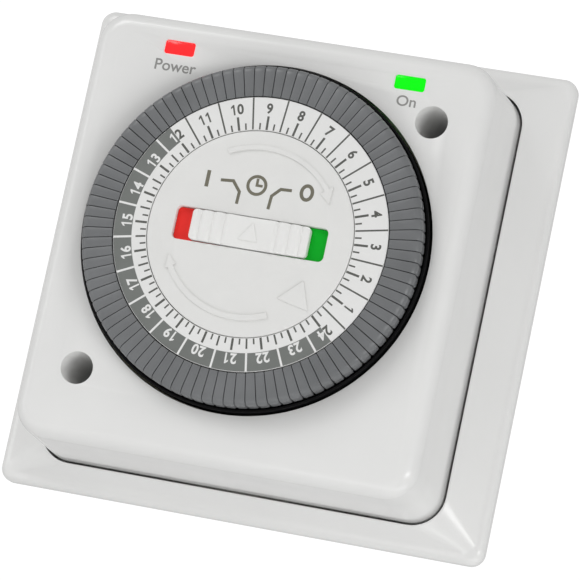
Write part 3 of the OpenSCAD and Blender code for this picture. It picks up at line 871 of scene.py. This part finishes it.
def slider_top(x, half_w):
    """Height of the slider's top: three soft grooves at each end, and a shallow dish between them."""
    top = SLIDER_HIGH[2] - 0.02
    end_ease = 0.35
    over = max(0.0, abs(x) - (half_w - end_ease))
    drop = end_ease - math.sqrt(max(0.0, end_ease ** 2 - over ** 2))
    for k in range(3):
        away = abs(abs(x) - (half_w - GROOVE_FIRST - GROOVE_PITCH * k))
        drop += 0.5 * max(0.0, 1 - away / GROOVE_HALF_W) ** 1.3
    inner = half_w - GROOVE_FIRST - GROOVE_PITCH * 2 - GROOVE_HALF_W
    if abs(x) < inner:
        drop += 0.4 * (1 - (x / inner) ** 2)
    return top - drop


def slider():
    """Slider with grooves at both ends, a raised pointer in its dished middle, and a stem behind."""
    half_w = SLIDER_W / 2
    half_h = SLIDER_H / 2
    steps = 300
    rings = []
    for k in range(steps + 1):
        x = half_w * math.sin(math.pi * (k / steps - 0.5))
        rings.append(slider_section(x, half_w, half_h, SLIDER_BASE, slider_top(x, half_w)))
    piece = mesh_piece("slider_body", *loft(rings), 50)
    stem = block(0, DIAL_UP, 4, 3, 27, SLIDER_BASE + 0.1)
    pin = cylinder(0, DIAL_UP, 1.2, 24.2, 27.1, 32)
    carve(piece, [stem, pin], "UNION")
    soften(piece, 50)
    dress(piece, "slider", "white_plastic", SLIDER_WHITE, "override_slider")
    middle = slider_top(0, half_w)
    pointer = on_disc([(-2.1, -1.6), (1.9, -1.6), (0.5, 2.1)])
    raised_mark("slider_pointer", pointer, middle - 0.2, middle + 0.27,
                "slider", "white_plastic", SLIDER_WHITE)


# ---- Printed labels ----

def label(name, text, centre, width, cap_height):
    """A generic word printed under a lamp."""
    def on_face(x, y):
        return centre[0] + x, centre[1] + y

    points, faces = glyph(text, cap_height, FACE - SUNK, on_face, 0.012)
    spread = max(p[0] for p in points) - min(p[0] for p in points)
    points = [(centre[0] + (x - centre[0]) * width / spread, y, level) for x, y, level in points]
    dress(mesh_piece(name, points, faces), "housing", "scale_print", LABEL_GREY)


# ---- Screws ----

def screw_solid(x, y, head_low, head_top, shank_end):
    """A screw with a slightly domed pan head, pointing at the wall."""
    shank_r = 1.45
    dome = 0.35
    rings = [circle_ring(x, y, shank_r * 0.6, shank_end, 48),
             circle_ring(x, y, shank_r, shank_end + 0.5, 48),
             circle_ring(x, y, shank_r, head_low, 48),
             circle_ring(x, y, SCREW_HEAD_R, head_low, 48)]
    for a in (0, 30, 60, 90):
        angle = math.radians(a)
        rings.append(circle_ring(x, y, SCREW_HEAD_R - dome * (1 - math.cos(angle)),
                                 head_top - dome + dome * math.sin(angle), 48))
    return loft(rings)


def cover_screws():
    slot_w = 0.9
    slot_depth = 1.0
    head_low = SCREW_SEAT + 0.02
    head_top = SCREW_HIGH[2]
    screws = [screw_solid(at, at, head_low, head_top, SCREW_LOW[2]) for at in SCREW_PLACES]
    slots = [block(at, at, 2 * SCREW_HEAD_R + 1, slot_w, head_top - slot_depth, head_top + PAST)
             for at in SCREW_PLACES]
    piece = mesh_piece("cover_screw_pair", *merged(screws))
    carve(piece, slots)
    ease_edges(piece, 0.08)
    dress(piece, "housing", "steel", STEEL, "cover_screws")


# ---- CAD nodes that keep their own shape ----

NODE_LOOKS = {
    "earth_terminal": BRASS, "earth_screw": BRASS, "fixing_inserts": BRASS, "neon_lamps": LAMP_GLASS,
    "lamp_board": BOARD, "lamp_resistors": RESISTOR, "chassis_plate": CREAM, "tapping_screws": STEEL,
    "rear_cover": CREAM, "rear_cover_screws": STEEL, "drive_motor": MOTOR_STEEL, "motor_pinion": BRASS,
    "gear_shaft": STEEL, "drive_wheel": NATURAL, "drive_pinion": BRASS, "clutch_spring": STEEL,
    "dial_carrier": BLACK, "red_flag": RED, "green_flag": GREEN, "selector_lever": RED,
    "follower_lever": BLUE, "follower_pin": STEEL, "follower_spring": STEEL, "switch_case": BLACK,
    "switch_plunger": RED, "terminal_block": CREAM, "terminal_clamps": BRASS, "terminal_screws": STEEL,
}


def dress_frame_nodes():
    for name, look in NODE_LOOKS.items():
        mesh = frame["nodes"][name].data
        mesh.materials.clear()
        mesh.materials.append(look)


# ---- Camera, light and floor ----

# The photograph's camera, fitted to the hour lines, the box's outline and the screw holes.
# Angles are in degrees, the focal length in millimetres, and the others in metres.
CAMERA_AZIMUTH = 14.37
CAMERA_ELEVATION = -10.0
CAMERA_ROLL = 12.08
CAMERA_FOCAL = 236.8
CAMERA_AWAY = 0.7493
CAMERA_RIGHT = 0.0079
CAMERA_UP = -0.0111


def camera_axes():
    """Right, up and back of the photograph's camera, turned by its azimuth, elevation and roll."""
    azimuth = math.radians(CAMERA_AZIMUTH)
    elevation = math.radians(CAMERA_ELEVATION)
    roll = math.radians(CAMERA_ROLL)
    level_right = Vector((math.cos(azimuth), math.sin(azimuth), 0))
    forward = Vector((-math.sin(azimuth) * math.cos(elevation), math.cos(azimuth) * math.cos(elevation),
                      -math.sin(elevation)))
    level_up = level_right.cross(forward)
    right = math.cos(roll) * level_right + math.sin(roll) * level_up
    up = math.cos(roll) * level_up - math.sin(roll) * level_right
    return right, up, -forward


def add_camera():
    right, up, back = camera_axes()
    aim = place(0, DIAL_UP, SCALE_TOP)
    lens_data = bpy.data.cameras.new("camera")
    lens_data.lens = CAMERA_FOCAL
    lens_data.sensor_width = 36
    lens_data.clip_start = 0.01
    camera = bpy.data.objects.new("camera", lens_data)
    bpy.context.scene.collection.objects.link(camera)
    turn = Matrix((right, up, back)).transposed().to_4x4()
    eye = aim + CAMERA_AWAY * back + CAMERA_RIGHT * right + CAMERA_UP * up
    camera.matrix_world = Matrix.Translation(eye) @ turn
    bpy.context.scene.camera = camera


def add_lamp(name, at, size, power):
    """A white area light that faces the middle of the box's back."""
    data = bpy.data.lights.new(name, "AREA")
    data.shape = "RECTANGLE"
    data.size = size[0]
    data.size_y = size[1]
    data.energy = power
    lamp = bpy.data.objects.new(name, data)
    bpy.context.scene.collection.objects.link(lamp)
    away = Vector(at).normalized()
    lamp.matrix_world = Matrix.Translation(Vector(at)) @ away.to_track_quat("Z", "Y").to_matrix().to_4x4()


def add_world(seen, cast):
    """A white surround: one brightness as the camera sees it, another as it lights the object."""
    world = bpy.data.worlds.new("studio")
    world.use_nodes = True
    nodes = world.node_tree.nodes
    links = world.node_tree.links
    ray = nodes.new("ShaderNodeLightPath")
    brightness = nodes.new("ShaderNodeMapRange")
    brightness.inputs["To Min"].default_value = cast
    brightness.inputs["To Max"].default_value = seen
    links.new(ray.outputs["Is Camera Ray"], brightness.inputs["Value"])
    background = nodes["Background"]
    background.inputs["Color"].default_value = (1, 1, 1, 1)
    links.new(brightness.outputs["Result"], background.inputs["Strength"])
    bpy.context.scene.world = world


def add_floor():
    size = 3
    level = -0.22
    mesh = bpy.data.meshes.new("floor")
    corners = [(-size, -size, level), (size, -size, level), (size, size, level), (-size, size, level)]
    mesh.from_pydata(corners, [], [(0, 1, 2, 3)])
    floor = bpy.data.objects.new("floor", mesh)
    bpy.context.scene.collection.objects.link(floor)
    floor.data.materials.append(FLOOR)


back_box()
front_cover()
lens("power_lens_cap", "power_lens", "red_lens", RED_LENS_PAINTED_GLOW)
lens("on_lens_cap", "on_lens", "green_lens", GREEN_LENS_PAINTED_GLOW)
cover_screws()
tappets()
scale_body()
scale_print()
scale_numerals()
centre_disc()
disc_relief()
disc_print()
slider()
label("power_label", "Power", centre=(-23.7, 33.45), width=8.6, cap_height=2.3)
label("on_label", "On", centre=(24.3, 33.6), width=4.0, cap_height=2.2)
dress_frame_nodes()

add_camera()
add_floor()
add_lamp("key", at=(-0.55, -0.75, 0.75), size=(0.45, 0.45), power=2.8)
add_lamp("fill", at=(0.8, -0.65, -0.14), size=(0.5, 0.16), power=1.9)
add_lamp("left_strip", at=(-0.8, -0.4, 0.05), size=(0.05, 0.8), power=0.7)
add_lamp("bounce", at=(0.1, -0.13, -0.2), size=(0.4, 0.05), power=0.1)
add_world(seen=1.05, cast=0.57)
bpy.context.scene.view_settings.view_transform = "Standard"
